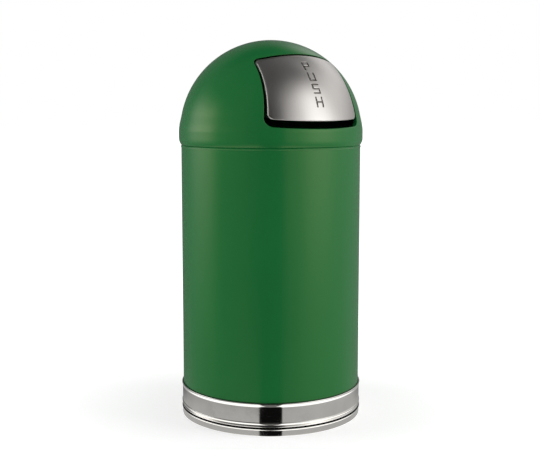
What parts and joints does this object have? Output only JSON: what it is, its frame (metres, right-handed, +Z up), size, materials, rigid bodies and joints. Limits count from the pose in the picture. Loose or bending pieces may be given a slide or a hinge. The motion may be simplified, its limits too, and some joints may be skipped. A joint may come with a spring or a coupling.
{
  "type": "dome top waste receptacle",
  "caption": "Free-standing steel cylinder on a bright base, with a lift-off dome, a sprung push door in it, and a lift-out pail liner with a wire bail.",
  "frame": {"origin": "centre of the foot ring's underside, on the floor", "axes": "+Z up along the cylinder's axis; -Y towards the front, where the door is; +X to the right of somebody at the back who looks at the front"},
  "size_m": [0.3813, 0.3814, 0.7797],
  "materials": {
    "green_enamel": "glossy green enamel on sheet steel",
    "bright_trim": "bright polished steel",
    "satin_door": "satin stainless steel",
    "zinc_sheet": "zinc-coated sheet steel",
    "zinc_wire": "zinc-coated drawn wire",
    "bright_rod": "drawn steel",
    "spring_wire": "oiled spring wire",
    "black_rubber": "moulded rubber",
    "pale_nylon": "moulded nylon"
  },
  "bodies": {
    "root": {"body_shell": "green_enamel", "floor_pan": "zinc_sheet", "base_band": "bright_trim", "foot_ring": "bright_trim", "base_screws": "bright_rod"},
    "dome": {"dome_shell": "green_enamel", "hinge_bracket_left": "green_enamel", "hinge_bracket_right": "green_enamel", "hinge_rod": "bright_rod", "rod_clips": "zinc_wire", "stop_bumper_left": "black_rubber", "stop_bumper_right": "black_rubber", "door_spring_left": "spring_wire", "door_spring_right": "spring_wire"},
    "door": {"door_panel": "satin_door", "door_ear_left": "satin_door", "door_ear_right": "satin_door", "door_bush_left": "pale_nylon", "door_bush_right": "pale_nylon"},
    "liner": {"liner_shell": "zinc_sheet", "liner_bottom": "zinc_sheet", "liner_rim_wire": "bright_rod", "liner_ear_left": "zinc_sheet", "liner_ear_right": "zinc_sheet", "liner_rivets": "bright_rod"},
    "bail": {"liner_bail": "zinc_wire"}
  },
  "joints": [
    {"name": "dome_lift", "type": "slide", "parent": "root", "child": "dome", "axis": [0, 0, 1], "range_m": [0, 0.9]},
    {"name": "liner_lift", "type": "slide", "parent": "root", "child": "liner", "axis": [0, 0, 1], "range_m": [0, 0.54]},
    {"name": "door_push", "type": "hinge", "parent": "dome", "child": "door", "pos_m": [0, -0.06827, 0.72079], "axis": [1, 0, 0], "range_deg": [0, 60], "stiffness_Nm_per_rad": 0.4, "springref_deg": -91.67, "deforming": ["door_spring_left", "door_spring_right"]},
    {"name": "bail_swing", "type": "hinge", "parent": "liner", "child": "bail", "pos_m": [0, 0, 0.524], "axis": [1, 0, 0], "range_deg": [0, 216.8]}
  ],
  "couplings": [
    {"joint": "liner_lift", "follows": "dome_lift", "ratio": 0.6}
  ]
}
